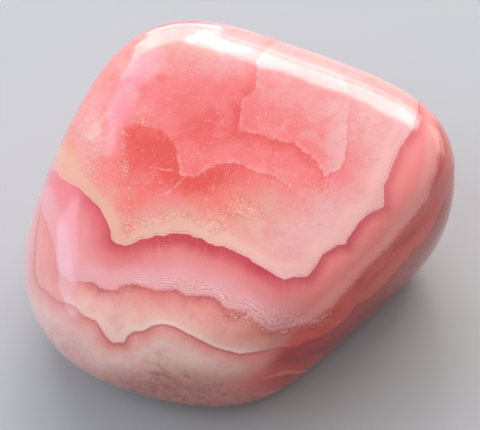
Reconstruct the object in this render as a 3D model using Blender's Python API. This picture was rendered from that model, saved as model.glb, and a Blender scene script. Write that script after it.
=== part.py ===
"""Tumbled rhodochrosite stone: one solid pebble with worn, rounded faces, standing on its flattest side.

Metres, +Z up. The origin is the middle of the resting side: the centre of the stone's box, on its lowest plane.
"""

import bpy
import numpy as np

MM = 0.001

# The faces that tumbling has worn on the pebble. Each is given by its outward normal and its distance from the
# heart of the stone: compass bearing (degrees clockwise from +Y, seen from above), tilt of the normal away from
# straight up (degrees), distance (mm).
WORN_FACES = {
    # the broad top and the slopes around it
    "broad top":         (173, 13, 9.9),
    "near slope":        (193, 28, 13.0),
    "near right slope":  (141, 52, 17.1),
    "left slope":        (260, 42, 17.3),
    "far right slope":   (28, 45, 17.4),
    "far left slope":    (330, 72, 20.6),
    # the flanks
    "left flank":        (288, 77, 18.8),
    "near left flank":   (244, 81, 22.0),
    "near flank":        (187, 96, 19.4),
    "near right flank":  (134, 95, 16.8),
    "right flank":       (72, 84, 21.9),
    "far right flank":   (33, 101, 19.7),
    "far flank":         (336, 99, 17.8),
    # the underside
    "near right under":  (135, 125, 18.2),
    "near left under":   (233, 140, 19.7),
    "far left under":    (300, 132, 17.4),
    "far right under":   (47, 127, 19.2),
    "base":              (0, 180, 10.5),
}

# How sharp the edges between the faces are: a low power gives an egg, a high one a crystal.
EDGE_POWER = 9.0

# Long, shallow waves that keep the worn faces from being perfectly even: direction of the wave over the unit
# sphere (waves per radian), phase (radians).
WAVES = (
    ((5.0, 3.0, 0.0), 1.0),
    ((0.0, 6.0, -4.0), 2.0),
    ((5.0, 0.0, 7.0), 4.0),
)
WAVE_SHARE = 0.002              # height of each wave, as a share of the distance from the heart

REST_HEIGHT = 10.4              # mm from the heart down to the plane that the stone has been worn flat on
BALL_LEVELS = 5                 # 20 x 4^(levels - 1) = 5120 triangles
ROSE = (0.78, 0.30, 0.29, 1.0)  # rhodochrosite pink, linear
POLISH = 0.16                   # roughness of the tumbled polish


def clear_scene():
    """Remove every object that the new file starts with."""
    for old in list(bpy.data.objects):
        bpy.data.objects.remove(old, do_unlink=True)


def face_normals():
    """Unit normals of the worn faces, one row each, from their bearing and tilt."""
    bearing, tilt, _ = np.radians(np.array(list(WORN_FACES.values()), dtype=float)).T
    return np.stack([np.sin(tilt) * np.sin(bearing), np.sin(tilt) * np.cos(bearing), np.cos(tilt)], axis=1)


def pebble_radius(directions):
    """Distance (mm) from the heart to the surface along each unit direction.

    A face at distance d with normal n lies at d / (n . direction). The inverses of all the faces' distances are
    combined as a power mean, which follows the nearest face and rounds the edges where two or three meet.
    """
    distances = np.array([face[2] for face in WORN_FACES.values()])
    nearness = np.maximum(directions @ face_normals().T, 0.0) / distances
    radius = (nearness ** EDGE_POWER).sum(axis=1) ** (-1.0 / EDGE_POWER)
    for wave, phase in WAVES:
        radius *= 1.0 + WAVE_SHARE * np.sin(directions @ np.array(wave) + phase)
    return radius


def stone_material():
    """Polished rhodochrosite in one plain pink."""
    material = bpy.data.materials.new("polished_rhodochrosite")
    material.use_nodes = True
    shader = material.node_tree.nodes["Principled BSDF"]
    shader.inputs["Base Color"].default_value = ROSE
    shader.inputs["Roughness"].default_value = POLISH
    shader.inputs["Metallic"].default_value = 0.0
    return material


def make_stone(collection):
    """Push the vertices of a ball out to the worn faces, flatten the resting side and stand it on the origin."""
    bpy.ops.mesh.primitive_ico_sphere_add(subdivisions=BALL_LEVELS, radius=1.0)
    stone = bpy.context.object
    stone.name = "stone"
    mesh = stone.data
    mesh.name = "stone"

    flat = np.empty(3 * len(mesh.vertices), dtype=np.float32)
    mesh.vertices.foreach_get("co", flat)
    directions = flat.reshape(-1, 3).astype(float)
    directions /= np.linalg.norm(directions, axis=1)[:, None]

    points = directions * pebble_radius(directions)[:, None]
    points[:, 2] = np.maximum(points[:, 2], -REST_HEIGHT)
    low, high = points.min(axis=0), points.max(axis=0)
    points -= [(low[0] + high[0]) / 2.0, (low[1] + high[1]) / 2.0, low[2]]

    mesh.vertices.foreach_set("co", (points * MM).astype(np.float32).ravel())
    mesh.update()
    mesh.shade_smooth()
    mesh.materials.append(stone_material())

    for home in list(stone.users_collection):
        home.objects.unlink(stone)
    collection.objects.link(stone)
    return stone


def main():
    clear_scene()
    collection = bpy.data.collections.new("tumbled_rhodochrosite")
    bpy.context.scene.collection.children.link(collection)
    make_stone(collection)


main()
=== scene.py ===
"""Tumbled rhodochrosite stone: a fine polished skin over the worn pebble, with its growth bands as colour,
and painted shade at its lower right and foot and painted sheen along its far ridge.

Shapes are in millimetres, as named values, and go into the meshes in metres. +Z is up.
"""

import math

import bpy
import numpy as np
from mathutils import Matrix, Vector


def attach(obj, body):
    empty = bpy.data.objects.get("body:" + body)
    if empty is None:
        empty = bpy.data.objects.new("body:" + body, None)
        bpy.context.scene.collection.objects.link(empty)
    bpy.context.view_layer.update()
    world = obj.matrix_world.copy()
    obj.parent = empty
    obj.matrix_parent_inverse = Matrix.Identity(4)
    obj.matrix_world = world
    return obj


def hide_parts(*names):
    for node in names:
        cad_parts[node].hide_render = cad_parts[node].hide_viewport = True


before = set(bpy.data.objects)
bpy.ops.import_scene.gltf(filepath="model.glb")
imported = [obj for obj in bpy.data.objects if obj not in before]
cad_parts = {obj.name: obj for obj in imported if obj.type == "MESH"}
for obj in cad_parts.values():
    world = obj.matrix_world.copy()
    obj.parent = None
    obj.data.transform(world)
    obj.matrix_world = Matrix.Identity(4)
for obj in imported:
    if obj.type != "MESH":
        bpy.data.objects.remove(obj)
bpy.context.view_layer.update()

MM = 0.001

# -----------------------------------------------------------------------------
# The pebble: faces that tumbling has worn, each by the compass bearing of its outward normal (degrees
# clockwise from +Y, seen from above), the tilt of that normal from straight up (degrees) and the distance of
# the face from the heart of the stone (mm).
# -----------------------------------------------------------------------------
WORN_FACES = {
    "broad top":         (173, 13, 9.9),
    "near slope":        (193, 28, 13.0),
    "near right slope":  (141, 52, 17.1),
    "left slope":        (260, 42, 17.3),
    "far right slope":   (28, 45, 17.4),
    "far left slope":    (330, 72, 20.6),
    "left flank":        (288, 77, 18.8),
    "near left flank":   (244, 81, 22.0),
    "near flank":        (187, 96, 19.4),
    "near right flank":  (134, 95, 16.8),
    "right flank":       (72, 84, 21.9),
    "far right flank":   (33, 101, 19.7),
    "far flank":         (336, 99, 17.8),
    "near right under":  (135, 125, 18.2),
    "near left under":   (233, 140, 19.7),
    "far left under":    (300, 132, 17.4),
    "far right under":   (47, 127, 19.2),
    "base":              (0, 180, 10.5),
}
EDGE_POWER = 9.0        # low is an egg, high is a crystal
WAVES = (               # shallow waves in the worn faces: waves per radian over the ball, phase
    ((5.0, 3.0, 0.0), 1.0),
    ((0.0, 6.0, -4.0), 2.0),
    ((5.0, 0.0, 7.0), 4.0),
)
WAVE_SHARE = 0.002      # wave height as a share of the distance from the heart
REST_HEIGHT = 10.4      # heart down to the resting plane
GRID = 128              # cells along each side of the six patches of the ball

# -----------------------------------------------------------------------------
# The face plane, on which the bands are drawn: it faces the eye point, which is raised EYE_ELEVATION degrees
# over the near side and EYE_DISTANCE from the middle of the drawing. Across is to the right, up is up-slope.
# -----------------------------------------------------------------------------
EYE_ELEVATION = 48.0
EYE_DISTANCE = 120.0
DRAWING_FROM_HEART = (0.5, 0.25, -1.2)      # middle of the drawing, seen from the heart of the stone
LENS = 90.0                                 # camera lens (mm)
FILM_WIDTH = 36.0                           # width of the film behind it (mm)
PAST_STONE = 60.0                           # a height on the drawing well past the stone
CLEAR_LEFT = 30.0                           # how far left of its first point an open line is closed

# How the drawing bends on the hidden side: height of each bend (mm), waves (radians per mm), phase.
BENDS_ACROSS = (
    (2.5, (0.0, 0.21, 0.17), 0.5),
    (1.2, (0.43, 0.0, -0.31), 2.0),
)
BENDS_UP = (
    (2.2, (0.24, 0.0, 0.15), 0.0),
    (1.1, (0.47, 0.39, 0.0), 1.0),
)
SLIDE_DOWN = 8.0                            # how far the drawing slides down there (mm)

# Edge of the core. Inside lies the massive coral heart of the stone, outside the rose bands start.
CORE_EDGE = (
    (-30.0, 10.0), (-20.0, 5.2), (-18.3, 4.3), (-17.9, 3.7), (-16.1, 2.7), (-14.1, 0.8), (-13.6, 0.0),
    (-12.9, -1.6), (-12.9, -2.4), (-12.4, -2.8), (-11.5, -3.1), (-10.8, -2.9), (-9.9, -2.4), (-8.9, -2.3),
    (-8.5, -2.0), (-7.5, -2.1), (-7.0, -1.8), (-5.1, -1.9), (-4.6, -2.2), (-3.8, -2.3), (-3.2, -2.8),
    (-2.4, -3.1), (-1.7, -3.1), (0.9, -4.3), (1.3, -4.7), (4.4, -6.5), (5.3, -6.2), (6.7, -6.2),
    (7.4, -5.4), (8.3, -3.9), (9.8, -3.0), (10.6, -2.9), (10.7, -2.5), (12.0, -0.6), (13.0, 0.2),
    (14.4, 0.8), (14.4, 3.0), (14.9, 3.9), (15.2, 4.9), (16.0, 6.7), (17.3, 8.6), (17.8, 10.5),
    (17.8, 11.3), (17.4, 14.0), (16.0, 22.0),
)
# Lace edge: fine grey-lilac laminae end here above salmon.
LACE_EDGE = (
    (-26.0, 9.0), (-20.2, 1.6), (-19.7, 0.2), (-19.0, -1.7), (-18.5, -3.5), (-18.2, -5.5), (-17.0, -6.7),
    (-16.3, -6.6), (-14.5, -6.8), (-14.1, -7.3), (-13.4, -7.5), (-12.3, -7.6), (-12.0, -7.2), (-11.2, -7.0),
    (-10.2, -7.0), (-8.4, -7.6), (-6.4, -7.5), (-5.4, -8.1), (-4.0, -8.1), (-2.6, -8.2), (-1.4, -9.4),
    (0.5, -9.7), (2.6, -11.6), (3.5, -11.7), (5.4, -11.2), (7.5, -10.6), (9.4, -9.4), (12.7, -5.4),
    (14.6, -3.6), (16.7, -1.1), (18.8, 1.6), (19.8, 4.4), (20.1, 6.8), (19.8, 9.5), (18.6, 13.0),
    (17.5, 22.0),
)
# Rose edge: a cream lip above a dark rose line, and mottled grey-pink below.
ROSE_EDGE = (
    (-24.0, 8.0), (-19.7, 1.4), (-20.2, -1.5), (-20.4, -3.6), (-20.5, -5.6), (-20.2, -6.8), (-19.9, -7.2),
    (-18.2, -8.6), (-17.3, -8.8), (-16.4, -9.2), (-15.8, -10.0), (-14.4, -10.6), (-13.4, -12.2),
    (-12.8, -12.8), (-11.6, -12.8), (-11.2, -12.1), (-10.7, -11.7), (-9.6, -11.6), (-8.8, -11.1),
    (-7.7, -10.9), (-6.7, -11.1), (-2.6, -13.2), (-0.1, -13.9), (2.3, -13.6), (4.0, -13.2), (5.7, -13.2),
    (6.6, -12.6), (8.0, -12.2), (9.5, -11.3), (10.6, -10.4), (11.6, -9.0), (13.2, -8.1), (14.7, -6.6),
    (17.3, -3.5), (18.4, -2.6), (19.4, -1.0), (20.4, 1.4), (21.0, 2.4), (21.4, 6.0), (20.6, 10.0),
    (19.0, 22.0),
)
# Pale window in the core: a closed outline, crisp below and at its left, soft at the ridge.
WINDOW_EDGE = (
    (-0.2, 8.4), (1.2, 8.2), (2.2, 8.1), (2.8, 7.6), (3.8, 7.5), (4.4, 7.2), (5.5, 7.2), (6.2, 6.4),
    (7.0, 6.0), (7.7, 5.3), (8.1, 4.6), (8.5, 3.9), (9.1, 4.3), (10.1, 4.7), (10.5, 5.6), (10.7, 7.1),
    (10.7, 9.3), (11.1, 11.5), (9.5, 16.0), (4.0, 18.0), (1.6, 15.5), (1.7, 14.5), (1.6, 12.7), (1.0, 12.0),
    (0.2, 11.7), (0.1, 10.5),
)
# Inner arc: a granular pale line with deep coral under it. It climbs away to the far left.
ARC_EDGE = (
    (-15.0, 24.0), (-12.0, 13.5), (-10.6, 10.4), (-9.6, 9.0), (-8.2, 8.5), (-7.3, 8.1), (-7.0, 7.3),
    (-6.3, 6.6), (-6.4, 5.6), (-6.0, 4.9), (-6.1, 4.2), (-5.8, 3.85), (-4.1, 3.85), (-3.5, 4.5),
    (-2.4, 4.9), (-1.1, 5.3), (0.3, 5.0), (1.4, 4.4), (2.2, 4.1), (3.2, 3.9), (4.0, 3.4), (4.8, 2.9),
    (5.4, 2.3), (6.6, 1.2), (9.0, -2.0),
)
# Dark coral patch left of the middle.
CORAL_PATCH = (
    (-11.4, 8.6), (-9.8, 9.0), (-7.7, 8.7), (-7.2, 8.0), (-6.6, 7.2), (-6.3, 6.0), (-6.2, 4.4), (-6.0, 2.4),
    (-7.0, 0.8), (-9.2, 0.2), (-10.8, 0.8), (-11.0, 3.2), (-11.5, 4.8), (-11.5, 6.8),
)
# Veins: an upright healed crack with bright crystals, and a short one over the cream rim.
VEINS = (
    ((-11.8, 9.0), (-11.7, 7.9), (-11.6, 6.9), (-11.5, 5.3), (-11.4, 4.1), (-11.0, 2.2), (-11.1, 0.4),
     (-11.2, -2.2)),
    ((-7.4, 0.25), (-6.8, -0.05), (-6.2, 0.15), (-5.6, 0.0), (-4.9, 0.2)),
)
# Hairlines in the core, each a short open line: pale ones at the left, darker ones at the right.
HAIRLINES = (
    ((-5.6, 3.7), (-6.6, 2.7), (-7.5, 2.0)),
    ((-9.0, 4.8), (-7.4, 4.5), (-6.6, 4.5)),
    ((9.2, 0.7), (9.9, 0.9), (10.9, 1.6), (11.8, 1.2), (12.5, 1.9)),
    ((6.2, 0.9), (7.0, -0.2), (8.0, -1.1), (8.7, -0.2), (9.2, 0.7)),
    ((2.9, -0.8), (4.4, -0.6), (5.8, -0.8), (7.4, -0.5)),
    ((11.0, 8.2), (12.4, 8.4), (13.6, 9.0), (14.8, 9.2)),
    ((11.4, 5.2), (12.8, 5.5), (14.3, 5.6)),
    ((2.2, 8.9), (3.6, 9.1), (5.2, 8.7), (6.4, 8.8)),
)
# Grainy line below the lace edge, right of the middle.
BEAD_LINE = (
    (-1.4, -10.2), (-0.1, -10.2), (0.7, -10.1), (1.8, -10.6), (2.5, -11.5), (3.5, -11.2), (4.4, -11.6),
    (5.0, -11.0), (5.7, -10.7), (7.4, -10.5), (8.9, -9.7),
)

# Soft clouds on the face plane: middle across and up, half-widths across and up (mm), and strength.
CLOUDS = {
    "deeper": (     # deeper coral
        (-10.8, 8.2, 1.6, 1.4, 0.40), (-8.6, 5.6, 3.2, 3.6, 0.36), (-3.2, 8.4, 4.4, 2.6, 0.50),
        (-3.9, 3.2, 2.3, 1.7, 0.70), (-2.0, 3.6, 2.6, 1.6, 0.25), (4.5, 9.8, 2.6, 2.0, 0.25),
    ),
    "paler": (      # paler and chalkier; the clouds along the far ridge, at (-8.0, 17.6), (-5.0, 16.5), (-1.0, 16.6), (3.5, 14.6) and (13.2, 9.6), are partly painted sheen of the far windows
        (-5.0, 16.5, 9.0, 2.0, 0.80), (-11.5, 14.0, 2.2, 2.2, 0.35), (-9.0, 10.5, 2.0, 1.0, 0.35),
        (-13.2, 10.4, 1.4, 1.6, 0.30), (-15.0, 7.4, 1.9, 4.4, 0.95), (-13.3, 8.4, 1.3, 1.6, 0.35),
        (4.0, -1.2, 9.5, 2.4, 0.75), (6.5, -2.6, 5.5, 3.0, 0.55), (-8.5, -0.4, 4.5, 1.4, 0.75),
        (9.5, 0.5, 3.5, 3.6, 0.45), (12.4, 5.0, 2.6, 6.0, 0.38), (3.5, 14.6, 6.5, 1.8, 0.60),
        (9.6, 10.5, 1.9, 5.0, 0.30), (13.2, 9.6, 3.0, 3.0, 1.00), (-12.7, 2.6, 1.4, 1.6, 0.35),
        (3.4, 1.6, 2.6, 1.6, 0.50), (6.0, 10.6, 3.4, 2.6, 0.45), (-1.0, 16.6, 3.6, 1.2, 0.60),
        (-8.0, 17.6, 3.0, 1.2, 0.50),
    ),
    "tawny": (      # leaning to tan
        (-5.0, -0.4, 7.0, 2.4, 0.9), (-17.5, 6.5, 2.4, 5.0, 1.0), (-12.0, 4.0, 3.0, 5.0, 0.6),
        (-8.0, 17.0, 5.0, 1.8, 0.6), (-14.0, 13.5, 1.6, 2.6, 0.7), (1.6, -11.4, 4.2, 1.8, 0.9),
        (-1.5, 2.4, 4.0, 1.6, 0.4), (2.4, 0.2, 3.8, 2.8, 0.9),
    ),
    "crimson": (    # deepest rose, under the core
        (-5.6, -3.2, 4.8, 1.8, 1.0), (1.4, -5.4, 3.8, 1.4, 0.85), (-12.6, -2.4, 1.2, 1.6, 0.35),
    ),
    "lilac": (      # cooler, mauve pink
        (6.0, -3.2, 3.4, 2.2, 0.45), (10.0, -0.4, 3.0, 2.0, 0.3), (-13.4, 11.6, 1.8, 1.6, 0.35),
    ),
    "flecked": (    # thick with pale crystal flecks
        (-11.4, 4.7, 0.35, 1.0, 0.9), (-11.1, -0.6, 0.3, 1.0, 0.6), (-6.4, 0.1, 1.2, 0.3, 1.1),
        (-11.6, 6.9, 0.30, 0.8, 0.6), (-2.4, -0.6, 1.1, 1.1, 0.9), (-0.3, 0.9, 1.3, 1.0, 0.8),
        (1.4, 0.3, 1.6, 0.8, 0.5), (-8.4, -0.5, 2.6, 0.5, 0.5), (-14.9, 7.6, 0.35, 0.35, 1.2),
        (-14.6, 5.0, 1.0, 2.4, 0.3), (-4.6, 5.6, 1.4, 1.2, 0.30), (-1.7, 9.6, 0.25, 1.2, 0.5),
        (1.8, -10.2, 3.4, 0.8, 0.8), (7.4, -10.7, 2.4, 0.5, 0.7), (-4.0, -7.0, 3.6, 0.5, 0.4),
        (-5.2, -12.9, 0.9, 0.6, 0.7), (8.6, 3.4, 0.3, 1.6, 0.5), (-7.4, -3.2, 0.25, 0.25, 1.0),
        (7.4, 2.6, 1.0, 1.0, 0.3), (2.0, 8.0, 1.4, 0.3, 0.4), (-10.0, 9.3, 1.8, 0.4, 0.5),
        (11.0, -6.9, 1.0, 0.8, 0.4), (14.0, -3.6, 1.2, 0.8, 0.3),
    ),
}


# -----------------------------------------------------------------------------
# Shape of the stone
# -----------------------------------------------------------------------------
def face_normals():
    """Unit normals of the worn faces, one row each, from their bearing and tilt."""
    bearing, tilt, _ = np.radians(np.array(list(WORN_FACES.values()), dtype=float)).T
    return np.stack([np.sin(tilt) * np.sin(bearing), np.sin(tilt) * np.cos(bearing), np.cos(tilt)], axis=1)


def pebble_radius(directions):
    """Distance (mm) from the heart to the surface along each unit direction.

    It is the power mean of the worn faces' nearness (normal . direction / distance), inverted, times the
    shallow waves.
    """
    distances = np.array([face[2] for face in WORN_FACES.values()])
    nearness = np.maximum(directions @ face_normals().T, 0.0) / distances
    radius = (nearness ** EDGE_POWER).sum(axis=1) ** (-1.0 / EDGE_POWER)
    for wave, phase in WAVES:
        radius *= 1.0 + WAVE_SHARE * np.sin(directions @ np.array(wave) + phase)
    return radius


def ball_grid(cells):
    """Unit directions and four-sided faces of a ball made of six square patches, welded along their seams.

    Each patch is a grid of two parameters over one side of a cube, spread by a tangent so that its cells are
    nearly equal on the ball, and pushed out to unit length.
    """
    steps = np.arange(cells + 1) * 2 - cells
    across, up = np.meshgrid(steps, steps, indexing="ij")
    corner = np.arange(cells * (cells + 1)).reshape(cells, cells + 1)[:, :cells].ravel()
    square = np.stack([corner, corner + cells + 1, corner + cells + 2, corner + 1], axis=1)
    lattice, faces = [], []
    for axis in range(3):
        for side in (-1, 1):
            patch = np.empty((cells + 1, cells + 1, 3), dtype=int)
            patch[..., axis] = side * cells
            patch[..., (axis + 1) % 3] = across
            patch[..., (axis + 2) % 3] = up
            faces.append((square if side > 0 else square[:, ::-1]) + len(lattice) * (cells + 1) ** 2)
            lattice.append(patch.reshape(-1, 3))
    lattice, merged = np.unique(np.concatenate(lattice), axis=0, return_inverse=True)
    cube = np.tan(lattice / cells * math.pi / 4.0)
    directions = cube / np.linalg.norm(cube, axis=1)[:, None]
    return directions, merged.reshape(-1)[np.concatenate(faces)]


def surface_points(directions):
    """Points of the pebble (mm) from the heart, with the resting side worn flat."""
    points = directions * pebble_radius(directions)[:, None]
    points[:, 2] = np.maximum(points[:, 2], -REST_HEIGHT)
    return points


# -----------------------------------------------------------------------------
# The bands, drawn on the face plane and carried through the stone
# -----------------------------------------------------------------------------
def eye_axes():
    """Directions right, up and back towards the eye, in the stone's own axes."""
    tilt = math.radians(EYE_ELEVATION)
    back = np.array([0.0, -math.cos(tilt), math.sin(tilt)])
    right = np.array([1.0, 0.0, 0.0])
    return right, np.cross(back, right), back


def bent(points, bends):
    """Sum of the bends at each point: height . sin(waves . point + phase)."""
    return sum(height * np.sin(points @ np.array(wave) + phase) for height, wave, phase in bends)


def drawing_coordinates(points, directions):
    """Across and up on the face plane (mm) for each surface point.

    Points fan out from the eye point on to the plane. Past the rim, where the stone turns away, the drawing
    slides and bends more and more, so the hidden side carries the same bands in other places.
    """
    right, up, back = eye_axes()
    from_middle = points - np.array(DRAWING_FROM_HEART)
    fan = EYE_DISTANCE / (EYE_DISTANCE - from_middle @ back)
    drawing = np.stack([from_middle @ right, from_middle @ up], axis=1) * fan[:, None]
    away = np.clip(-(directions @ back), 0.0, 1.0)
    away = away * away * (3.0 - 2.0 * away)
    bend = np.stack([bent(points, BENDS_ACROSS), bent(points, BENDS_UP) - SLIDE_DOWN], axis=1)
    return drawing + away[:, None] * bend


def line_distance(points, line, closed=False):
    """Distance (mm) from each point to the nearest stretch of a line."""
    line = np.array(line)
    ends = np.roll(line, -1, axis=0) if closed else line[1:]
    nearest = np.full(len(points), np.inf)
    for start, end in zip(line, ends):
        step = end - start
        share = np.clip((points - start) @ step / (step @ step), 0.0, 1.0)
        gap = points - start - share[:, None] * step
        nearest = np.minimum(nearest, np.hypot(gap[:, 0], gap[:, 1]))
    return nearest


def within(points, outline):
    """+1 inside a closed outline and -1 outside: a ray to the right crosses it an odd number of times."""
    odd = np.zeros(len(points), dtype=bool)
    outline = np.array(outline)
    for (ax, ay), (bx, by) in zip(outline, np.roll(outline, -1, axis=0)):
        spans = (ay > points[:, 1]) != (by > points[:, 1])
        reach = ax + (points[:, 1] - ay) * (bx - ax) / (by - ay if by != ay else 1.0)
        odd ^= spans & (points[:, 0] < reach)
    return np.where(odd, 1.0, -1.0)


def above(points, line):
    """Signed distance (mm) to an open line, positive on its upper side."""
    left = line[0][0] - CLEAR_LEFT
    outline = list(line) + [(line[-1][0], PAST_STONE), (left, PAST_STONE), (left, line[0][1])]
    return line_distance(points, line) * within(points, outline)


def soft_clouds(points, clouds):
    """Sum of bell-shaped clouds: strength . exp(-(dx / half-width)^2 - (dy / half-height)^2)."""
    total = np.zeros(len(points))
    for across, up, width, height, strength in clouds:
        from_middle = (points - (across, up)) / (width, height)
        total += strength * np.exp(-(from_middle ** 2).sum(axis=1))
    return total


def inside(points, outline):
    """Signed distance (mm) to a closed outline, positive inside."""
    return line_distance(points, outline, closed=True) * within(points, outline)


# -----------------------------------------------------------------------------
# Shader building
# -----------------------------------------------------------------------------
def rgb(red, green, blue):
    """Linear colour from the 0 to 255 values of a paint chart, by the sRGB curve."""
    levels = (level / 255.0 for level in (red, green, blue))
    return tuple(v / 12.92 if v <= 0.04045 else ((v + 0.055) / 1.055) ** 2.4 for v in levels) + (1.0,)


class Wire:
    """A shader socket that sums can be written with: each operator adds one Math node."""

    def __init__(self, owner, socket):
        self.owner = owner
        self.socket = socket

    def _math(self, operation, *values):
        return self.owner.node("ShaderNodeMath", {"operation": operation}, dict(enumerate(values)))

    def __add__(self, other):
        return self._math("ADD", self, other)

    def __sub__(self, other):
        return self._math("SUBTRACT", self, other)

    def __mul__(self, other):
        return self._math("MULTIPLY", self, other)

    def __truediv__(self, other):
        return self._math("DIVIDE", self, other)

    def __radd__(self, other):
        return self._math("ADD", other, self)

    def __rsub__(self, other):
        return self._math("SUBTRACT", other, self)

    def __rmul__(self, other):
        return self._math("MULTIPLY", other, self)

    def __rtruediv__(self, other):
        return self._math("DIVIDE", other, self)

    def __neg__(self):
        return self._math("MULTIPLY", self, -1.0)

    def __abs__(self):
        return self._math("ABSOLUTE", self)


class Finish:
    """A material, or the world given as owner. node() adds any node, and the rest add the most used ones."""

    def __init__(self, name, owner=None):
        self.material = owner or bpy.data.materials.new(name)
        self.material.use_nodes = True
        self.tree = self.material.node_tree
        self.shader = self.tree.nodes.get("Principled BSDF")

    def node(self, kind, settings=None, inputs=None, output=0):
        """A node of that kind: its settings first, ramp stops too, then its sockets' values or links."""
        node = self.tree.nodes.new(kind)
        for name, value in (settings or {}).items():
            if name == "stops":
                self._set_stops(node.color_ramp, value)
            else:
                setattr(node, name, value)
        for name, value in (inputs or {}).items():
            self.feed(node.inputs[name], value)
        return Wire(self, node.outputs[output])

    def _set_stops(self, ramp, stops):
        """Ramp elements at the given positions, each with a grey level or the three values of a paint."""
        while len(ramp.elements) < len(stops):
            ramp.elements.new(1.0)
        for element, (position, tone) in zip(ramp.elements, stops):
            element.position = position
            element.color = rgb(*tone) if isinstance(tone, tuple) else (tone, tone, tone, 1.0)

    def feed(self, socket, value):
        """Link a wire to a socket, or set its plain value."""
        if isinstance(value, Wire):
            self.tree.links.new(value.socket, socket)
        else:
            socket.default_value = value

    def field(self, name):
        """A number that the mesh carries at each point."""
        return self.node("ShaderNodeAttribute", {"attribute_name": name}, output="Fac")

    def noise(self, place, scale, detail=2.0, roughness=0.5, output=0):
        """Cloudy noise around 0.5; scale is in features per unit of place."""
        sockets = {"Vector": place, "Scale": scale, "Detail": detail, "Roughness": roughness}
        return self.node("ShaderNodeTexNoise", None, sockets, output)

    def step(self, value, low, high):
        """0 below low, 1 above high, a smooth S between. With low over high it falls instead."""
        if low < high:
            ends = {"From Min": low, "From Max": high, "To Min": 0.0, "To Max": 1.0}
        else:
            ends = {"From Min": high, "From Max": low, "To Min": 1.0, "To Max": 0.0}
        return self.node("ShaderNodeMapRange", {"interpolation_type": "SMOOTHSTEP"}, {"Value": value, **ends})

    def bump_at(self, value, centre, half_width):
        """A smooth hill of height 1 at centre, down to 0 half_width away."""
        return self.step(abs(value - centre), half_width, 0.0)

    def mix(self, share, first, second, blend="MIX"):
        """Second colour over first by share: the node's sockets 6 and 7, and its output 2."""
        settings = {"data_type": "RGBA", "blend_type": blend}
        return self.node("ShaderNodeMix", settings, {0: share, 6: first, 7: second}, 2)

    def ramp(self, value, stops):
        """Tones along a value, whose stops are (value, tone) from the lowest to the highest."""
        low, high = stops[0][0], stops[-1][0]
        share = (value - low) / (high - low)
        placed = [((position - low) / (high - low), tone) for position, tone in stops]
        return self.node("ShaderNodeValToRGB", {"stops": placed}, {"Fac": share})


# -----------------------------------------------------------------------------
# Bands, paints and polish of the rhodochrosite. A band's tones are listed by distance (mm) from its edge.
# -----------------------------------------------------------------------------
OUTER_BANDS = (         # outwards from the rose edge; the darker tones from 4.4 to 6.4 mm, along the bottom rim, are partly a dark rose band and partly painted shade
    (0.0, (206, 98, 94)), (0.12, (214, 110, 105)), (0.32, (236, 142, 135)), (0.8, (248, 164, 155)),
    (1.3, (250, 180, 170)), (2.0, (250, 197, 185)), (3.4, (236, 178, 167)), (4.4, (216, 150, 139)),
    (5.4, (192, 120, 110)), (6.4, (190, 114, 105)), (7.6, (226, 158, 148)), (8.4, (236, 182, 172)),
    (8.8, (196, 82, 84)), (10.0, (226, 130, 128)), (14.0, (236, 168, 160)),
)
RED_AND_SHADE_BANDS = (           # in their place at the lower right: deep red bands, darkened as painted shade where that flank turns from the light
    (0.0, (172, 12, 20)), (0.5, (184, 20, 26)), (1.3, (166, 16, 20)), (1.7, (196, 34, 32)),
    (2.3, (210, 66, 56)), (2.6, (228, 118, 104)), (2.9, (188, 36, 34)), (3.8, (206, 66, 58)),
    (4.4, (232, 138, 124)), (4.8, (186, 36, 34)), (6.4, (206, 62, 54)), (7.4, (164, 26, 28)),
    (7.8, (222, 104, 90)), (9.0, (200, 54, 48)), (11.0, (218, 94, 82)), (14.0, (226, 126, 114)),
)
SALMON_BANDS = (        # outwards from the lace edge
    (0.0, (188, 70, 74)), (0.12, (198, 84, 86)), (0.4, (214, 108, 105)), (0.8, (226, 130, 122)),
    (1.2, (234, 146, 137)), (1.8, (240, 158, 148)), (3.2, (246, 170, 159)),
)
ROSE_BANDS = (          # outwards from the core edge
    (0.0, (196, 72, 82)), (0.25, (205, 80, 90)), (0.6, (213, 90, 98)), (1.0, (217, 101, 104)),
    (1.4, (220, 112, 113)), (2.0, (222, 125, 125)), (2.8, (226, 140, 140)), (3.6, (229, 153, 153)),
    (4.5, (230, 156, 157)),
)
LIP_STRENGTH = (        # inwards from the rose edge: how much cream
    (0.0, 0.0), (0.06, 0.5), (0.12, 1.0), (0.42, 0.95), (0.62, 0.5), (1.1, 0.35), (2.2, 0.0),
)
RIM_STRENGTH = (        # inwards from the core edge: how much cream
    (0.0, 0.9), (0.28, 0.95), (0.75, 0.95), (1.0, 0.75), (1.25, 0.45), (1.8, 0.18), (2.6, 0.0),
)
RIM_NARROWNESS = (      # by place across: low is a wide rim, high is a narrow one
    (-20.0, 0.25), (-16.5, 0.45), (-14.0, 1.0), (-8.0, 0.95), (-4.0, 0.8), (4.0, 0.75), (9.0, 0.62),
    (14.0, 0.6), (17.0, 0.5), (20.0, 0.45),
)
RIM_CREAM = (           # by place across: tan at the left, pinker at the right
    (-20.0, (222, 158, 136)), (-15.0, (221, 164, 140)), (-8.0, (224, 171, 149)), (-1.0, (228, 176, 160)),
    (5.0, (236, 178, 172)), (20.0, (240, 176, 172)),
)

# Outer zone
CHALK = rgb(248, 212, 194)
MUTED_PINK = rgb(222, 150, 142)
# Painted shade at the foot of the stone.
FOOT_SHADE_BROWN = rgb(170, 88, 80)
BUFF = rgb(206, 150, 132)
MOTTLE_BROWN = rgb(194, 138, 118)
SPECK_BROWN = rgb(160, 104, 88)
# Brick red near the rose edge at the lower right: partly the stone's colour, partly painted shade.
BRICK = rgb(216, 84, 74)
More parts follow.
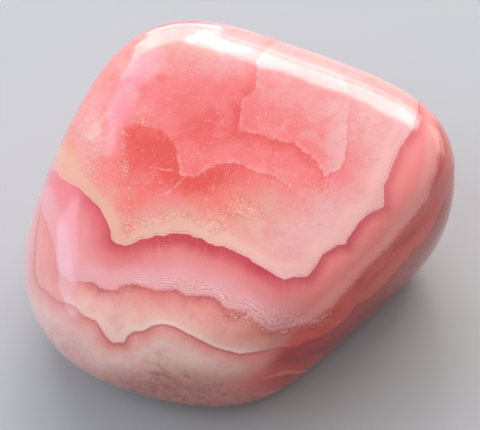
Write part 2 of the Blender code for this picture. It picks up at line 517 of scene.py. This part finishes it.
# Salmon zone
FADED_SALMON = rgb(233, 149, 141)
GRAIN_SALMON = rgb(224, 136, 122)
TAN_SALMON = rgb(230, 150, 132)
PALE_SALMON = rgb(250, 188, 174)
FIBRE_SALMON = rgb(250, 184, 170)
DUSTY_SALMON = rgb(228, 128, 120)
# Brick salmon at the lower right, partly painted shade.
BRICK_SALMON_AND_SHADE = rgb(204, 92, 84)
LIP_CREAM = rgb(253, 205, 190)
# Deep, orange and lip reds of the lower right flank, partly painted shade.
DEEP_RED_AND_SHADE = rgb(204, 34, 26)
ORANGE_RED_AND_SHADE = rgb(224, 70, 48)
LIP_RED_AND_SHADE = rgb(222, 66, 46)
BEAD_SHADOW = rgb(196, 84, 80)
BEAD_PINK = rgb(244, 164, 150)
# Rose zone and its lace
CRIMSON_ROSE = rgb(186, 30, 46)
LEFT_ROSE = rgb(228, 126, 130)
RIGHT_ROSE = rgb(236, 124, 126)
WARM_ROSE = rgb(250, 142, 138)
GREY_ROSE = rgb(238, 158, 152)
LILAC_ROSE = rgb(230, 160, 160)
PALE_ROSE = rgb(246, 178, 170)
FIBRE_ROSE = rgb(240, 156, 158)
EDGE_ROSE = rgb(218, 120, 124)
# Deep red of the lace front at the lower right, partly painted shade.
FRONT_RED_AND_SHADE = rgb(222, 52, 42)
LACE_LILAC = rgb(186, 122, 132)
LACE_WHITE = rgb(246, 202, 200)
# Core
DEEP_CORAL = rgb(219, 73, 66)
CORAL = rgb(232, 112, 112)
ORANGE_CORAL = rgb(228, 116, 103)
CHALK_PINK = rgb(229, 154, 152)
TAN = rgb(220, 152, 139)
PALEST_PINK = rgb(234, 180, 176)
PALEST_TAN = rgb(230, 184, 168)
LILAC_HAZE = rgb(224, 154, 160)
DARK_SEAM = rgb(206, 92, 88)
PALE_SEAM = rgb(246, 184, 174)
FRINGE_SHADOW = rgb(208, 84, 78)
FRINGE_PINK = rgb(244, 172, 164)
RIM_FIBRE = rgb(222, 150, 136)
RIM_GREY = rgb(192, 128, 120)
RIM_PINK = rgb(236, 164, 164)
# Flecks and cracks
FLECK_GAP = rgb(214, 176, 172)
SOFT_FLECK = rgb(238, 172, 152)
CURL = rgb(246, 186, 162)
BRIGHT_FLECK = rgb(255, 226, 196)
PALE_CRACK = rgb(250, 190, 178)
DARK_CRACK = rgb(212, 104, 104)
VEIN_RED = rgb(208, 98, 84)
VEIN_BEAD = rgb(250, 206, 168)

# The polish
SMOOTHEST = 0.08                # roughness of the best polished places
DULLER = 0.10                   # how much rougher the dullest are
GLOW_SHARE = 0.15               # share of the light that spreads under the skin
GLOW_REACH = 1.5 * MM
GLOW_TINT = (1.0, 0.35, 0.3)    # red goes furthest
REFRACTION = 1.6
COAT = 0.2
COAT_ROUGHNESS = 0.06
RIPPLE_HEIGHT = 0.14 * MM
RIPPLE_STRENGTH = 0.5


class Bands(Finish):
    """The banded rhodochrosite, zone by zone from the outside of the stone inwards.

    Numbers beside across, up or an edge are places and distances (mm) on the face plane.
    """

    def __init__(self, name):
        super().__init__(name)
        place = self.node("ShaderNodeTexCoord", output="Object")
        self.place = self.node("ShaderNodeVectorMath", {"operation": "SCALE"}, {0: place, "Scale": 1.0 / MM})
        self.across = self.field("across")
        self.up = self.field("up")
        self.fine = self.noise(self.place, 2.4, detail=4.0, roughness=0.62) - 0.5
        self.middle = self.noise(self.place, 0.75, detail=3.0, roughness=0.55) - 0.5
        self.broad = self.noise(self.place, 0.24, detail=3.0) - 0.5
        self.grain = self.noise(self.place, 4.0, roughness=0.6) - 0.5
        self.core = self.field("core_edge") + self.fine * 0.22
        self.lace = self.field("lace_edge") + self.fine * 0.45
        self.rose = self.field("rose_edge") + self.fine * 0.22
        self.window = self.field("window_edge") + self.fine * 0.55 + self.middle * 0.3
        self.arc = self.field("arc_edge") + self.fine * 0.6
        self.patch = self.field("coral_patch") + self.fine * 0.6 + self.middle * 0.8
        self.low_right = self.across * 0.69 - self.up * 0.73
        self.low_side = self.step(self.up, 6.5, -0.5)
        # The lower right flank turns deep red: partly the stone's own red bands, partly painted shade where
        # it turns away from the light.
        reddening_and_shade = self.step(self.low_right + self.middle * 1.2, 11.9, 13.5)
        self.redness_and_shade = reddening_and_shade * self.step(self.across, 1.0, 5.0) * self.low_side

    def along(self, distance, length, thickness, detail=2.0):
        """Noise drawn out along a band: features so long and so thick (mm), around 0."""
        stretched = self.node("ShaderNodeCombineXYZ", None, {
            0: self.across / length, 1: self.up / length, 2: distance / thickness})
        return self.noise(stretched, 1.0, detail, 0.55) - 0.5

    def fibres(self, width, length, detail=2.0):
        """Noise drawn out up-slope, as the crystal fibres lie across the bands, around 0."""
        return self.noise(self.drawn(width, length), 1.0, detail) - 0.5

    def drawn(self, length, height):
        """A place on the face plane, for noise with features so long and so high (mm)."""
        return self.node("ShaderNodeCombineXYZ", None, {0: self.across / length, 1: self.up / height})

    def wisps(self):
        """Noise in long thin wisps that climb to the right, around 0."""
        climb = self.up - self.across * 0.4
        stretched = self.node("ShaderNodeCombineXYZ", None, {0: self.across / 1.3, 1: climb / 0.5})
        return self.noise(stretched, 1.0, detail=4.0, roughness=0.6) - 0.5

    def mosaic(self, size):
        """A tone for each grain of a ragged crystal mosaic, around 0; size is the grains' width (mm)."""
        shake = self.noise(self.place, 1.3, output="Color")
        shaken = self.node("ShaderNodeVectorMath", {"operation": "ADD"}, {0: self.place, 1: shake})
        cell = self.node("ShaderNodeTexVoronoi", None, {"Vector": shaken, "Scale": 1.0 / size}, "Color")
        return self.node("ShaderNodeSeparateColor", None, {0: cell}) - 0.5

    def outer_zone(self):
        """Outside the rose edge: a dark rose line, chalky grey-pink with fibres, then more bands. Painted
        shade darkens the foot, and the brick and deep red at the lower right are partly painted shade.
        """
        depth = -self.rose + self.middle * 0.7
        shift = (self.broad * 2.0 + self.middle * 0.4) * self.step(-self.rose, 0.6, 3.0)
        colour = self.ramp(shift - self.rose * (1.0 + self.middle * 1.4), OUTER_BANDS)
        chalk = self.step(self.noise(self.place, 1.1, detail=4.0, roughness=0.7), 0.40, 0.66)
        colour = self.mix(chalk * self.step(depth, 0.6, 1.6) * 0.5, colour, CHALK)
        left = self.step(self.across, -13.0, -17.0)
        colour = self.mix(left * 0.45, colour, MUTED_PINK)
        # Painted shade: darker towards the bottom of the stone, where it turns down from the light.
        foot_shade = self.step(self.up + self.middle * 1.2 + self.broad * 2.0, -14.2, -17.2)
        colour = self.mix(foot_shade * 0.6, colour, FOOT_SHADE_BROWN)
        streaks = self.step(self.fibres(0.2, 0.9, detail=3.0), 0.02, 0.3) * self.step(depth, 1.6, 3.4)
        colour = self.mix(streaks * 0.6, colour, BUFF)
        mottles = self.step(self.noise(self.drawn(0.6, 0.8), 1.0, detail=3.0, roughness=0.6), 0.50, 0.68)
        colour = self.mix(mottles * self.step(depth, 2.2, 4.2) * 0.24, colour, MOTTLE_BROWN)
        specks = self.step(self.noise(self.place, 3.4, detail=1.0), 0.68, 0.76)
        colour = self.mix(specks * self.step(depth, 2.0, 3.6) * 0.36, colour, SPECK_BROWN)
        # Brick red at the lower right near the rose edge, partly painted shade.
        red = self.step(self.low_right + self.middle * 1.2, 10.2, 14.4) * self.low_side
        colour = self.mix(red * self.step(depth, 5.5, 2.5), colour, BRICK)
        # Deep red bands at the lower right, partly painted shade.
        red_and_shade_bands = self.ramp(-self.rose + self.along(self.rose, 3.0, 0.8) * 0.8, RED_AND_SHADE_BANDS)
        return self.mix(self.redness_and_shade, colour, red_and_shade_bands)

    def salmon_zone(self):
        """Between the lace edge and the rose edge: dark rose, then salmon, then a thin cream lip. At the
        lower right it turns brick and deep red, partly painted shade.
        """
        from_lace = self.ramp(-self.lace, SALMON_BANDS)
        faded = self.step(self.across, -15.0, -17.2)
        colour = self.mix(faded * 0.7, from_lace, FADED_SALMON)
        grains = self.step(self.mosaic(1.1), -0.1, 0.5)
        colour = self.mix(grains * 0.35, colour, GRAIN_SALMON)
        colour = self.mix(self.field("tawny") * 0.6, colour, TAN_SALMON)
        drawn_out = self.step(self.along(self.rose, 2.5, 0.5), 0.0, 0.3)
        colour = self.mix(drawn_out * 0.16, colour, PALE_SALMON)
        streaks = self.step(self.fibres(0.35, 1.6), 0.0, 0.3)
        colour = self.mix(streaks * 0.2, colour, FIBRE_SALMON)
        colour = self.mix(self.salmon_lip(), colour, LIP_CREAM)
        right = self.step(self.across, 10.0, 16.0)
        colour = self.mix(right * 0.6, colour, DUSTY_SALMON)
        # Brick salmon at the lower right, partly painted shade.
        redder_and_shade = self.step(self.low_right + self.middle, 9.8, 11.8) * self.step(self.across, -1.0, 3.0)
        colour = self.mix(redder_and_shade * 0.65, colour, BRICK_SALMON_AND_SHADE)
        # Deep reds of the lower right flank, partly painted shade.
        red = self.mix(self.step(self.along(self.lace, 3.0, 0.5), -0.1, 0.2), DEEP_RED_AND_SHADE, ORANGE_RED_AND_SHADE)
        red = self.mix(self.step(self.rose, 0.5, 1.3), LIP_RED_AND_SHADE, red)
        colour = self.mix(self.redness_and_shade, colour, red)
        return self.bead_line(colour)

    def salmon_lip(self):
        """Strength of the cream lip over the rose edge: wide at the left, narrow in the middle, then gone."""
        narrowing = 0.6 + self.step(self.across, -12.5, -6.0) * 0.7
        lip = self.ramp(self.rose * (narrowing + self.middle * 1.4), LIP_STRENGTH)
        return lip * self.step(self.across, -19.5, -11.5) * self.step(self.across, 12.0, 0.0)

    def bead_line(self, colour):
        """A grainy line below the lace edge: pale beads in a dark seam."""
        beads = self.field("bead_line") + self.fine * 0.8
        colour = self.mix(self.step(beads, 0.6, 0.1) * 0.6, colour, BEAD_SHADOW)
        grains = self.step(beads, 0.40, 0.16) * self.step(self.noise(self.place, 3.6, detail=1.0), 0.48, 0.58)
        return self.mix(grains * 0.8, colour, BEAD_PINK)

    def rose_zone(self):
        """Between the core and the lace edge: crimson at the core, fading to lilac, then fine lace. Deep red
        at the lower right is partly painted shade.
        """
        distance = -self.core + self.along(self.core, 3.0, 0.8) * self.step(-self.core, 0.3, 1.5) * 0.7
        colour = self.ramp(distance, ROSE_BANDS)
        deep = self.field("crimson") * self.step(distance, 1.9, 0.1)
        colour = self.mix(deep, colour, CRIMSON_ROSE)
        left = self.step(self.across, -14.6, -17.5)
        colour = self.mix(left * 0.8, colour, LEFT_ROSE)
        right = self.step(self.across, 11.0, 16.0)
        colour = self.mix(right * 0.5, colour, RIGHT_ROSE)
        warm = self.step(self.across, 4.0, 9.0) * self.step(distance, 0.3, 1.4)
        colour = self.mix(warm * 0.85, colour, WARM_ROSE)
        greyer = self.step(self.along(self.core, 5.0, 0.5), -0.05, 0.2) * self.step(distance, 0.8, 1.8)
        colour = self.mix(greyer * warm * 0.5, colour, GREY_ROSE)
        lilac = self.step(self.lace, 2.3, 0.9) * self.step(self.across, 7.0, 2.0)
        colour = self.mix(lilac * 0.75, colour, LILAC_ROSE)
        pale = self.bump_at(self.lace, 0.9, 1.0) * self.step(self.across, 11.0, 17.0)
        colour = self.mix(pale * 0.5, colour, PALE_ROSE)
        streaks = self.step(self.fibres(0.4, 3.0), 0.05, 0.3)
        colour = self.mix(streaks * 0.2, colour, FIBRE_ROSE)
        colour = self.lace_lines(colour)
        edge = self.step(self.lace, 0.32, 0.04) * self.step(self.across, -16.0, -12.5)
        colour = self.mix(edge * 0.7, colour, EDGE_ROSE)
        # Deep red front at the lower right, partly painted shade.
        front = self.step(self.lace + self.fine * 0.5, 0.8, 0.0)
        return self.mix(front * self.redness_and_shade * 0.95, colour, FRONT_RED_AND_SHADE)

    def lace_lines(self, colour):
        """Fine growth lines over the lace edge, pale and grey-lilac in turn, broken here and there."""
        drift = self.along(self.lace, 2.4, 1.6) * 1.1
        pace = 23.0 - self.step(self.across, -5.0, 1.0) * 8.0
        wave = self.node("ShaderNodeMath", {"operation": "SINE"}, {0: (self.lace + drift) * pace})
        zone = self.step(self.lace, 1.75, 0.9) * self.step(self.lace, 0.1, 0.35)
        zone = zone * self.step(self.across, 8.0, 2.5) * self.step(self.across, -13.5, -7.5)
        zone = zone * self.step(self.along(self.lace, 1.6, 0.5), -0.2, 0.05)
        colour = self.mix(self.step(wave, 0.2, 0.9) * zone * 0.40, colour, LACE_LILAC)
        return self.mix(self.step(wave, -0.2, -0.9) * zone * 0.5, colour, LACE_WHITE)

    def core_depth(self):
        """How deep the coral of the core is: -1 or less is palest, 2 or more is deepest."""
        in_window = self.step(self.window, -0.06, 0.06) * self.step(self.up, 19.0, 15.0)
        in_window = in_window * self.step(self.across, 14.0, 7.5)
        in_patch = self.step(self.patch, -0.25, 0.3) * self.step(self.up, 1.0, 6.5)
        under_arc = self.step(self.arc, 0.05, -0.05) * self.step(self.arc, -2.6, 0.0)
        under_arc = under_arc * self.step(self.across, 4.0, -1.5) * self.step(self.up, 8.0, 5.0)
        above_arc = self.step(self.arc, -0.05, 0.05) * self.step(self.arc, 3.0, 0.5)
        under_window = self.step(self.window, -1.7, 0.0) * self.step(self.across, 10.4, 8.0)
        facets = self.mosaic(2.4) * self.step(self.across, -8.5, -11.5)
        # Paler strip past the far ridge: partly the stone's colour, partly painted reflection of the bright
        # room at a grazing angle.
        far_rim_and_sheen = self.step(self.up + self.across * 0.36, 16.9, 17.9) * self.step(self.across, -6.0, -1.0)
        texture = (self.broad * 0.3 + self.middle * 0.5 + self.grain * 0.45 + self.mosaic(1.7) * 0.38
                   + facets * 0.5 + self.wisps() * 0.5)
        deeper = self.field("deeper") + in_patch * 0.5 + under_arc * 0.65 + under_window * 0.6
        # Paleness; near the far ridge it is partly painted sheen.
        paler = self.field("paler") + in_window * 0.8 + above_arc * 0.2 + far_rim_and_sheen * 1.2
        return 1.0 + texture + deeper - paler

    def core_zone(self):
        """Inside the core edge: coral clouds, a pale window, an inner arc and a cream rim."""
        depth = self.core_depth()
        tawny = self.field("tawny")
        colour = self.mix(tawny, PALEST_PINK, PALEST_TAN)
        colour = self.mix(self.step(depth, -0.8, 0.2), colour, self.mix(tawny, CHALK_PINK, TAN))
        colour = self.mix(self.step(depth, -0.1, 1.1), colour, self.mix(tawny, CORAL, ORANGE_CORAL))
        colour = self.mix(self.step(depth, 0.9, 2.1), colour, DEEP_CORAL)
        colour = self.mix(self.field("lilac"), colour, LILAC_HAZE)
        colour = self.crystal_seams(colour)
        window_ends = self.step(self.up, 12.0, 8.0) * self.step(self.across, 12.5, 9.5)
        colour = self.fringe(colour, self.window, window_ends)
        arc_ends = self.step(self.across, 5.8, 3.0) * self.step(self.across, -7.4, -5.9)
        colour = self.fringe(colour, self.arc, arc_ends)
        return self.core_rim(colour)

    def fringe(self, colour, edge, ends):
        """A broken pale fringe on the upper side of an edge in the core, and a thin dark seam under it."""
        broken = self.step(self.fine + self.middle, -0.15, 0.2)
        colour = self.mix(self.bump_at(edge, -0.12, 0.2) * ends * 0.4, colour, FRINGE_SHADOW)
        return self.mix(self.bump_at(edge, 0.22, 0.32) * broken * ends * 0.35, colour, FRINGE_PINK)

    def crystal_seams(self, colour):
        """Faint winding seams between the crystals, some dark and some pale."""
        dark = abs(self.noise(self.place, 0.5, detail=3.0, roughness=0.6) - 0.5)
        colour = self.mix(self.step(dark, 0.012, 0.0) * 0.20, colour, DARK_SEAM)
        pale = abs(self.noise(self.place, 0.85, roughness=0.6) - 0.45)
        pale = self.step(pale, 0.020, 0.004) * self.step(self.middle + self.fine, -0.02, 0.12)
        return self.mix(pale * 0.30, colour, PALE_SEAM)

    def core_rim(self, colour):
        """The cream rim inside the core edge, with a thin grey line and a rose-pink lip."""
        depth = self.core * self.ramp(self.across, RIM_NARROWNESS)
        depth = depth + self.middle * 0.3 * self.step(self.core, 0.5, 1.2)
        colour = self.mix(self.ramp(depth, RIM_STRENGTH), colour, self.ramp(self.across, RIM_CREAM))
        fibrous = self.step(self.along(self.core, 3.0, 0.35), 0.0, 0.25) * self.step(self.core, 2.4, 0.8)
        colour = self.mix(fibrous * 0.35, colour, RIM_FIBRE)
        broken = self.step(self.fine + self.middle, -0.15, 0.12) * self.step(self.across, -12.2, -10.2)
        colour = self.mix(self.bump_at(self.core, 0.20, 0.11) * broken * 0.65, colour, RIM_GREY)
        return self.mix(self.step(self.core, 0.13, 0.05) * 0.7, colour, RIM_PINK)

    def add_flecks(self, colour):
        """Pale crystal flecks in the flecked clouds: soft grains, thin curls and a few bright points."""
        on_arc = self.bump_at(self.arc, 0.1, 0.35) * self.step(self.core, 0.2, 1.0)
        on_rim = self.bump_at(self.core + self.middle * 0.4, 1.45, 0.3)
        on_rim = on_rim * self.step(self.across, 2.0, -4.0) * self.step(self.across, -13.0, -11.0)
        crowd = self.field("flecked") + on_arc * 0.22 + on_rim * 0.6
        there = self.step(crowd, 0.04, 0.3)
        grains = self.noise(self.place, 4.4, roughness=0.6)
        gaps = self.step(grains, 0.50, 0.40) * there
        colour = self.mix(gaps * 0.3, colour, FLECK_GAP, "MULTIPLY")
        soft = self.step(grains + crowd * 0.16, 0.58, 0.72) * there
        colour = self.mix(soft * 0.35, colour, SOFT_FLECK)
        winding = abs(self.noise(self.place, 2.6, detail=1.0) - 0.5)
        curls = self.step(winding, 0.050, 0.015) * self.step(crowd + self.middle * 0.8, 0.20, 0.65)
        colour = self.mix(curls * 0.4, colour, CURL)
        bright = self.noise(self.place, 4.6, detail=3.0, roughness=0.7) + crowd * 0.10
        return self.mix(self.step(bright, 0.70, 0.78) * there * 0.6, colour, BRIGHT_FLECK)

    def add_cracks(self, colour):
        """Healed hairline cracks in the core, and the veins with bright crystals in them."""
        crack = self.field("hairline") + self.fine * 0.5
        tone = self.mix(self.step(self.across, -4.0, 2.0), PALE_CRACK, DARK_CRACK)
        colour = self.mix(self.step(crack, 0.12, 0.02) * 0.3, colour, tone)
        vein = self.field("vein") + self.fine * 0.5
        colour = self.mix(self.step(vein, 0.26, 0.03) * 0.4, colour, VEIN_RED)
        beaded = self.step(self.noise(self.drawn(0.5, 0.35), 1.0), 0.50, 0.58)
        return self.mix(self.step(vein, 0.10, 0.03) * beaded * 0.8, colour, VEIN_BEAD)

    def finish(self):
        """Stack the zones and set the polish."""
        colour = self.mix(self.step(self.rose, -0.05, 0.05), self.outer_zone(), self.salmon_zone())
        colour = self.mix(self.step(self.lace, -0.06, 0.06), colour, self.rose_zone())
        in_core = self.step(self.core, -0.035, 0.035)
        colour = self.mix(in_core, colour, self.add_cracks(self.core_zone()))
        ripples = self.noise(self.place, 0.36, detail=1.0, roughness=0.4)
        bump = {"Strength": RIPPLE_STRENGTH, "Distance": RIPPLE_HEIGHT, "Height": ripples}
        polish = {
            "Base Color": self.add_flecks(colour),
            "Roughness": SMOOTHEST + DULLER * self.noise(self.place, 1.5),
            "Subsurface Weight": GLOW_SHARE,
            "Subsurface Radius": GLOW_TINT,
            "Subsurface Scale": GLOW_REACH,
            "IOR": REFRACTION,
            "Coat Weight": COAT,
            "Coat Roughness": COAT_ROUGHNESS,
            "Normal": self.node("ShaderNodeBump", None, bump),
        }
        for socket, value in polish.items():
            self.feed(self.shader.inputs[socket], value)
        return self.material


def make_stone():
    """The stone's skin: the ball grid pushed out to the worn faces, with the band distances at each point.

    Returns the place of the stone's heart (mm).
    """
    directions, faces = ball_grid(GRID)
    points = surface_points(directions)
    low, high = points.min(axis=0), points.max(axis=0)
    heart = -np.array([(low[0] + high[0]) / 2.0, (low[1] + high[1]) / 2.0, low[2]])
    drawing = drawing_coordinates(points, directions)

    mesh = bpy.data.meshes.new("tumbled_stone")
    mesh.from_pydata((points + heart) * MM, [], faces)
    mesh.shade_smooth()
    fields = {
        "core_edge": above(drawing, CORE_EDGE),
        "lace_edge": above(drawing, LACE_EDGE),
        "rose_edge": above(drawing, ROSE_EDGE),
        "arc_edge": above(drawing, ARC_EDGE),
        "window_edge": inside(drawing, WINDOW_EDGE),
        "coral_patch": inside(drawing, CORAL_PATCH),
        "vein": np.min([line_distance(drawing, line) for line in VEINS], axis=0),
        "bead_line": line_distance(drawing, BEAD_LINE),
        "hairline": np.min([line_distance(drawing, line) for line in HAIRLINES], axis=0),
        "across": drawing[:, 0],
        "up": drawing[:, 1],
    }
    fields.update({name: soft_clouds(drawing, clouds) for name, clouds in CLOUDS.items()})
    for name, values in fields.items():
        mesh.attributes.new(name, "FLOAT", "POINT").data.foreach_set("value", values.astype(np.float32))
    mesh.materials.append(Bands("banded_rhodochrosite").finish())

    stone = bpy.data.objects.new("tumbled_stone", mesh)
    bpy.context.scene.collection.objects.link(stone)
    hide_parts("stone")
    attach(stone, "root")
    return heart


# -----------------------------------------------------------------------------
# Floor, light and camera
# -----------------------------------------------------------------------------
FLOOR_GREY = (0.42, 0.42, 0.43, 1.0)
FLOOR_ROUGHNESS = 0.8
FLOOR_REACH = 8.0               # from the stone to each side of the floor (m)

# Lights are soft panels that face the stone: compass bearing and elevation of the middle (degrees), width and
# height (m), glow and tint. Where one lies inside another, the two make a window with a soft edge.
PANEL_DISTANCE = 1.2            # from the stone to every panel (m)
DAYLIGHT = (1.0, 0.97, 0.94)
WARM_DAYLIGHT = (1.0, 0.96, 0.92)
COOL_DAYLIGHT = (0.46, 0.74, 1.0)
FAR_WINDOWS = {
    "far_window": (-11, 41, 0.64, 0.43, 4.4, DAYLIGHT),
    "far_upper_pane": (23, 49, 0.69, 0.30, 6.2, WARM_DAYLIGHT),
    "far_lower_pane": (22, 37, 0.69, 0.29, 2.9, WARM_DAYLIGHT),
    "low_window": (-6, 18, 0.53, 0.58, 3.6, (1.0, 0.98, 0.96)),
}
LEFT_WINDOWS = {                # bearing, width, elevation of the sill and of the head, glow
    "left_window": (-80, 0.38, 14, 46, 1.95),
    "left_middle_window": (-96, 0.30, 6, 36, 1.95),
    "left_near_window": (-110, 0.32, 0, 22, 1.90),
}
LEFT_HEIGHTS = (1.0, 0.75, 0.5)     # the panels of each left window, as shares of its height
OTHER_LIGHTS = {
    "near_wall_0": (-148, 24, 1.50, 1.30, 0.30, (1.0, 0.95, 0.90)),
    "near_wall_1": (-148, 24, 1.00, 0.90, 0.30, (1.0, 0.95, 0.90)),
    "sky_window_0": (-31, 56, 0.38, 0.36, 2.5, (0.60, 0.62, 1.0)),
    "sky_window_1": (-31, 56, 0.30, 0.29, 2.5, (0.60, 0.62, 1.0)),
    "right_window": (62, 20, 0.53, 0.53, 1.6, DAYLIGHT),
}
ROOM_AIM = (-0.34, 0.28, 0.90)  # where the room's own light is brightest
DIM_ROOM = 0.10                 # glow of its dim side
BRIGHT_ROOM = 0.79              # and of its bright side
NEAREST_SEEN = 0.001            # the camera shows nothing nearer (m)


def make_floor():
    """A plain pale floor under the stone."""
    finish = Finish("pale_floor")
    finish.shader.inputs["Base Color"].default_value = FLOOR_GREY
    finish.shader.inputs["Roughness"].default_value = FLOOR_ROUGHNESS
    corners = [(FLOOR_REACH * x, FLOOR_REACH * y, 0.0) for x, y in ((-1, -1), (1, -1), (1, 1), (-1, 1))]
    mesh = bpy.data.meshes.new("floor")
    mesh.from_pydata(corners, [], [(0, 1, 2, 3)])
    mesh.materials.append(finish.material)
    floor = bpy.data.objects.new("floor", mesh)
    bpy.context.scene.collection.objects.link(floor)


def make_panel(name, bearing, elevation, width, height, glow, tint):
    """A soft rectangular light, aimed at the stone from a compass bearing and elevation."""
    light = bpy.data.lights.new(name, "AREA")
    light.shape = "RECTANGLE"
    light.size = width
    light.size_y = height
    light.energy = glow * math.pi * width * height
    light.color = tint
    lamp = bpy.data.objects.new(name, light)
    bearing = math.radians(bearing)
    elevation = math.radians(elevation)
    level = math.cos(elevation)
    towards = Vector((math.sin(bearing) * level, math.cos(bearing) * level, math.sin(elevation)))
    lamp.location = PANEL_DISTANCE * towards
    lamp.rotation_euler = (-lamp.location).to_track_quat("-Z", "Y").to_euler()
    bpy.context.scene.collection.objects.link(lamp)


def make_left_window(name, bearing, width, sill, head, glow):
    """A cool window at the left: panels of falling height, one inside another, fade its top and bottom."""
    for number, share in enumerate(LEFT_HEIGHTS):
        half_angle = math.radians((head - sill) * share / 2.0)
        height = 2.0 * PANEL_DISTANCE * math.tan(half_angle)
        make_panel("%s_%d" % (name, number), bearing, (sill + head) / 2.0, width, height, glow, COOL_DAYLIGHT)


def make_room():
    """An even room that is brightest high on the far left side and dim low on the near right side."""
    world = bpy.data.worlds.new("room")
    world.use_nodes = True
    room = Finish("room", world)
    aim = Vector(ROOM_AIM).normalized()
    direction = room.node("ShaderNodeTexCoord", output="Generated")
    toward = room.node("ShaderNodeVectorMath", {"operation": "DOT_PRODUCT"}, {0: direction, 1: aim}, "Value")
    glow = DIM_ROOM + (BRIGHT_ROOM - DIM_ROOM) * room.step(toward, -0.4, 0.9)
    background = room.tree.nodes["Background"]
    room.feed(background.inputs["Strength"], glow)
    background.inputs["Color"].default_value = (1.0, 1.0, 1.0, 1.0)
    bpy.context.scene.world = world


def make_light():
    """Bright windows behind the stone, cool ones at its left, dim lights elsewhere, and the room itself."""
    for name, panel in FAR_WINDOWS.items():
        make_panel(name, *panel)
    for name, window in LEFT_WINDOWS.items():
        make_left_window(name, *window)
    for name, panel in OTHER_LIGHTS.items():
        make_panel(name, *panel)
    make_room()
    bpy.context.scene.view_settings.view_transform = "Standard"


def make_camera(heart):
    """The camera stands at the eye point and looks at the middle of the drawing."""
    middle = Vector((heart + np.array(DRAWING_FROM_HEART)) * MM)
    tilt = math.radians(EYE_ELEVATION)
    back = Vector((0.0, -math.cos(tilt), math.sin(tilt)))
    lens = bpy.data.cameras.new("camera")
    lens.sensor_width = FILM_WIDTH
    lens.lens = LENS
    lens.clip_start = NEAREST_SEEN
    camera = bpy.data.objects.new("camera", lens)
    camera.location = middle + back * EYE_DISTANCE * MM
    camera.rotation_euler = (math.pi / 2.0 - tilt, 0.0, 0.0)
    bpy.context.scene.collection.objects.link(camera)
    bpy.context.scene.camera = camera


heart = make_stone()
make_floor()
make_light()
make_camera(heart)
